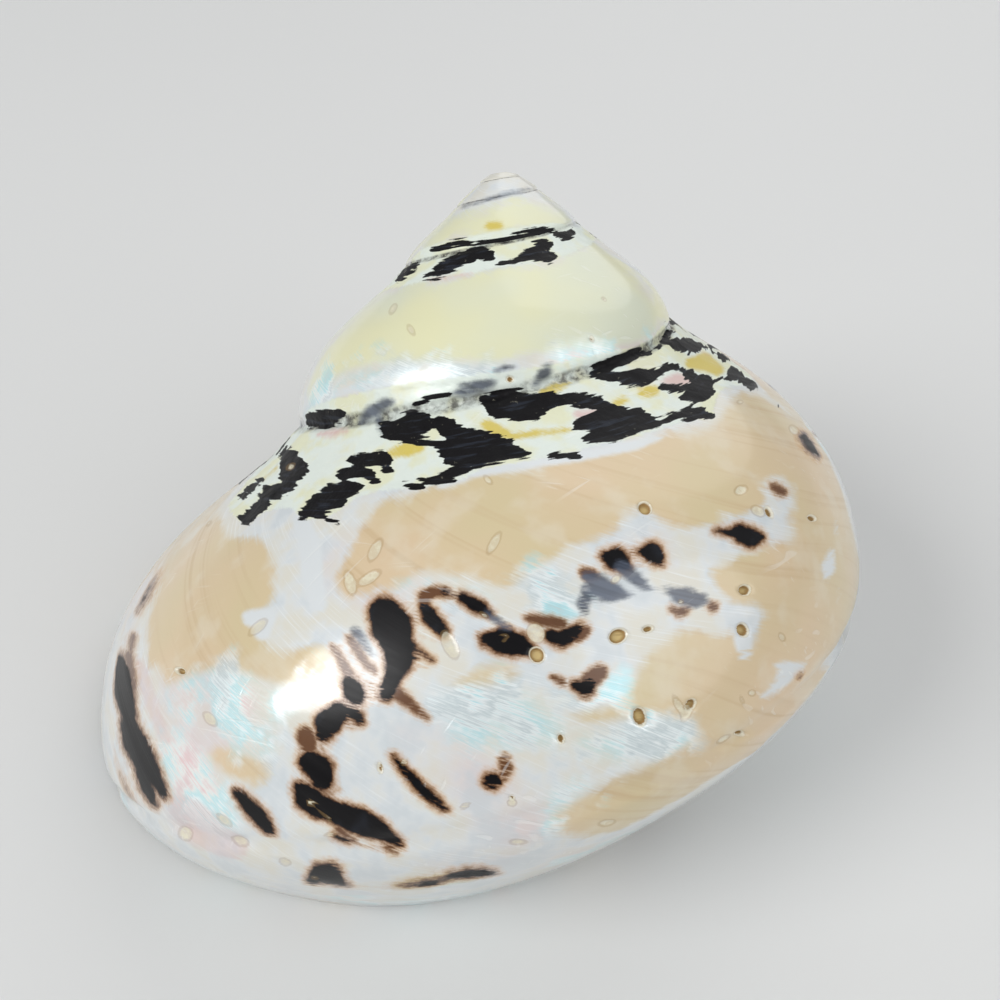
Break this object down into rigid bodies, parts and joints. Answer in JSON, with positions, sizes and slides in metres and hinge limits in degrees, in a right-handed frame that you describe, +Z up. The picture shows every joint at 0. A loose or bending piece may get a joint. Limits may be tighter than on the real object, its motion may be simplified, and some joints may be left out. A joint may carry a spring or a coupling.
{
  "type": "turban shell",
  "caption": "Polished top-shaped sea snail shell with round whorls, an open mouth and a narrow umbilicus, lying on its mouth as an ornament.",
  "frame": {"origin": "on the surface the shell lies on, under the middle of its box", "axes": "+Z up, -Y towards the viewer of the picture, +X to that viewer's right; the mouth faces down on the -X side and the apex leans towards +Y"},
  "size_m": [0.0748, 0.0668, 0.0443],
  "materials": {
    "polished_shell": "polished shell with mother-of-pearl, cream bands and black marks"
  },
  "bodies": {
    "root": {"shell": "polished_shell"}
  },
  "joints": []
}
